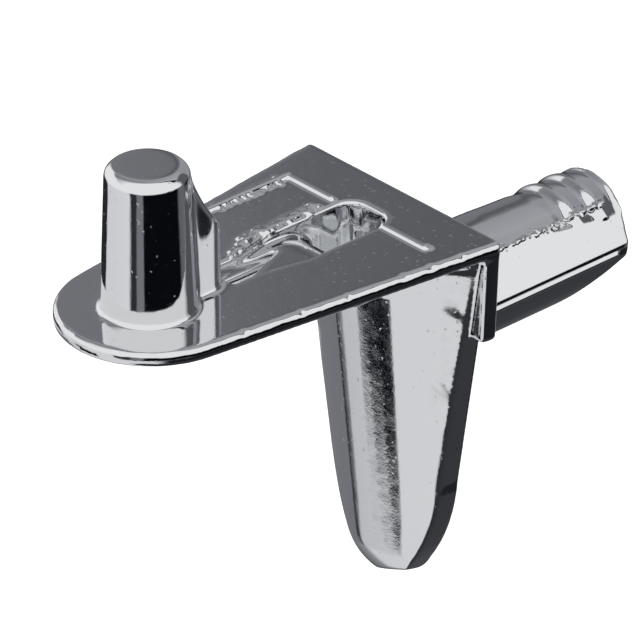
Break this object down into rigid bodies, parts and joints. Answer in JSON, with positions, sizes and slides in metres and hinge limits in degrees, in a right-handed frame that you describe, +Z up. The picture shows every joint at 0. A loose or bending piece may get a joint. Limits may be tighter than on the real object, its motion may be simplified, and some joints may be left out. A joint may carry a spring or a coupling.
{
  "type": "shelf support pin",
  "caption": "Metal shelf support: barbed dowel for a 5 mm hole, flat plate with an upright locating stud, and a tongue that bears on the panel.",
  "frame": {"origin": "middle of the system hole on the panel's face, on the dowel's axis", "axes": "+Y into the panel along the dowel, +X across the plate, +Z up to the shelf"},
  "size_m": [0.0114, 0.0279, 0.0238],
  "materials": {
    "plated_casting": "bright nickel-plated zinc die-casting, slightly pitted, with nicked edges"
  },
  "bodies": {
    "root": {"support_pin": "plated_casting"}
  },
  "joints": []
}
